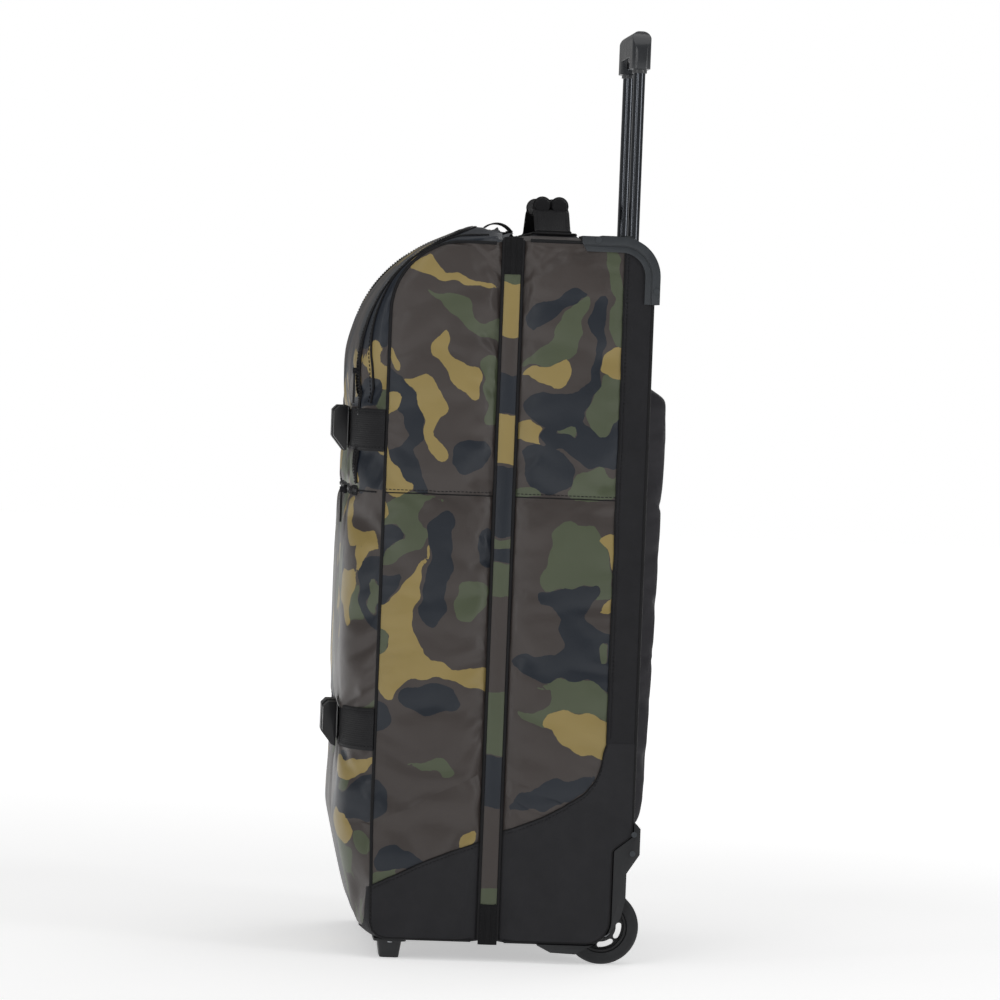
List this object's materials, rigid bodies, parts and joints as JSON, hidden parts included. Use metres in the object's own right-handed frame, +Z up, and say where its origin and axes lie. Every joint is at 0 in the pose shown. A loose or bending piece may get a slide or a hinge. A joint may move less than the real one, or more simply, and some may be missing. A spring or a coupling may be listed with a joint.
{
  "type": "rolling duffel bag",
  "caption": "Tall soft-sided rolling duffel bag with a clamshell lid, telescopic trolley handle, corner wheels, front feet and compression straps.",
  "frame": {"origin": "on the floor under the middle of the bag's outline", "axes": "+Z up, +Y towards the trolley side, -Y towards the lid, +X towards the fabric hinge of the lid"},
  "size_m": [0.409, 0.348, 0.981],
  "materials": {
    "camo_fabric": "coated woodland camouflage, semi-gloss",
    "base_fabric": "black coated fabric",
    "webbing": "black woven webbing",
    "zip_tape": "black zip tape with coil teeth",
    "zip_metal": "black enamelled zinc",
    "puller": "black moulded puller",
    "hard_plastic": "textured black-grey polypropylene",
    "buckle_plastic": "black acetal",
    "grip_plastic": "glossy black ABS",
    "tube": "black anodised extrusion",
    "board": "black polyethylene sheet",
    "tyre": "black polyurethane",
    "rim_plastic": "black nylon",
    "steel": "zinc-plated steel"
  },
  "bodies": {
    "chassis": {"rear_shell": "camo_fabric", "rear_boot": "base_fabric", "back_board": "board", "back_cover": "base_fabric", "base_board": "board", "tie_straps": "webbing", "corner_guard_left": "hard_plastic", "corner_guard_right": "hard_plastic", "corner_screws": "steel", "handle_bezel": "hard_plastic", "outer_tube_left": "tube", "outer_tube_right": "tube", "tube_bracket": "hard_plastic", "wheel_housing_left": "hard_plastic", "wheel_housing_right": "hard_plastic", "axles": "steel", "hinge_strip": "camo_fabric", "zip_garages": "zip_tape", "zip_chain_rear": "zip_tape", "haul_base": "base_fabric", "haul_risers": "webbing"},
    "lid": {"lid_shell": "camo_fabric", "lid_boot": "base_fabric", "zip_chain_lid": "zip_tape", "foot_left": "hard_plastic", "foot_right": "hard_plastic", "foot_rivets": "steel", "front_strap_upper": "webbing", "front_strap_lower": "webbing", "buckle_female_upper": "buckle_plastic", "buckle_female_lower": "buckle_plastic", "pocket_zip_upper": "zip_tape", "pocket_zip_lower": "zip_tape", "mesh_pocket": "base_fabric"},
    "trolley": {"inner_tube_left": "tube", "inner_tube_right": "tube", "tube_glides": "hard_plastic", "trolley_grip": "grip_plastic"},
    "release": {"release_button": "grip_plastic", "release_rods": "steel"},
    "haul_handle": {"haul_grip": "webbing"},
    "wheel_left": {"tyre_left": "tyre", "wheel_rim_left": "rim_plastic", "wheel_bearings_left": "steel"},
    "wheel_right": {"tyre_right": "tyre", "wheel_rim_right": "rim_plastic", "wheel_bearings_right": "steel"},
    "zip_slider_left": {"main_slider_left": "zip_metal"},
    "zip_pull_left": {"main_puller_left": "puller"},
    "zip_slider_right": {"main_slider_right": "zip_metal"},
    "zip_pull_right": {"main_puller_right": "puller"},
    "pocket_zip_slider_upper": {"pocket_slider_upper": "zip_metal"},
    "pocket_pull_upper": {"pocket_puller_upper": "puller"},
    "pocket_zip_slider_lower": {"pocket_slider_lower": "zip_metal"},
    "pocket_pull_lower": {"pocket_puller_lower": "puller"},
    "buckle_upper": {"buckle_male_upper": "buckle_plastic", "strap_tail_upper": "webbing"},
    "buckle_lower": {"buckle_male_lower": "buckle_plastic", "strap_tail_lower": "webbing"}
  },
  "joints": [
    {"name": "lid_hinge", "type": "hinge", "parent": "chassis", "child": "lid", "pos_m": [0.203, 0.004, 0.38], "axis": [0, 0, 1], "range_deg": [0, 170]},
    {"name": "trolley_slide", "type": "slide", "parent": "chassis", "child": "trolley", "axis": [0, 0, 1], "range_m": [-0.172, 0]},
    {"name": "release_press", "type": "slide", "parent": "trolley", "child": "release", "axis": [0, 0, 1], "range_m": [0, 0.003], "stiffness_N_per_m": 800, "springref_m": -0.003},
    {"name": "haul_swing", "type": "hinge", "parent": "chassis", "child": "haul_handle", "pos_m": [0, 0.0515, 0.766], "axis": [1, 0, 0], "range_deg": [-30, 30], "stiffness_Nm_per_rad": 0.5},
    {"name": "wheel_left_spin", "type": "hinge", "parent": "chassis", "child": "wheel_left", "pos_m": [0.178, 0.1235, 0.039], "axis": [1, 0, 0], "continuous": true},
    {"name": "wheel_right_spin", "type": "hinge", "parent": "chassis", "child": "wheel_right", "pos_m": [-0.178, 0.1235, 0.039], "axis": [1, 0, 0], "continuous": true},
    {"name": "zip_slider_left_run", "type": "slide", "parent": "chassis", "child": "zip_slider_left", "axis": [1, 0, 0], "range_m": [0, 0.1]},
    {"name": "zip_slider_right_run", "type": "slide", "parent": "chassis", "child": "zip_slider_right", "axis": [1, 0, 0], "range_m": [-0.1, 0]},
    {"name": "zip_pull_left_flip", "type": "hinge", "parent": "zip_slider_left", "child": "zip_pull_left", "pos_m": [0.016, 0.012, 0.763], "axis": [1, 0, 0], "range_deg": [-110, 0]},
    {"name": "zip_pull_right_flip", "type": "hinge", "parent": "zip_slider_right", "child": "zip_pull_right", "pos_m": [-0.016, 0.012, 0.763], "axis": [1, 0, 0], "range_deg": [-110, 0]},
    {"name": "pocket_slider_upper_run", "type": "slide", "parent": "lid", "child": "pocket_zip_slider_upper", "axis": [0, 0, 1], "range_m": [0, 0.03]},
    {"name": "pocket_pull_upper_flip", "type": "hinge", "parent": "pocket_zip_slider_upper", "child": "pocket_pull_upper", "pos_m": [0.165, -0.155, 0.61], "axis": [1, 0, 0], "range_deg": [-90, 0]},
    {"name": "pocket_slider_lower_run", "type": "slide", "parent": "lid", "child": "pocket_zip_slider_lower", "axis": [1, 0, 0], "range_m": [-0.15, 0]},
    {"name": "pocket_pull_lower_flip", "type": "hinge", "parent": "pocket_zip_slider_lower", "child": "pocket_pull_lower", "pos_m": [0.118, -0.1622, 0.4845], "axis": [1, 0, 0], "range_deg": [-90, 0]},
    {"name": "buckle_upper_release", "type": "slide", "parent": "lid", "child": "buckle_upper", "axis": [1, 0, 0], "range_m": [0, 0.03]},
    {"name": "buckle_lower_release", "type": "slide", "parent": "lid", "child": "buckle_lower", "axis": [1, 0, 0], "range_m": [0, 0.03]}
  ]
}
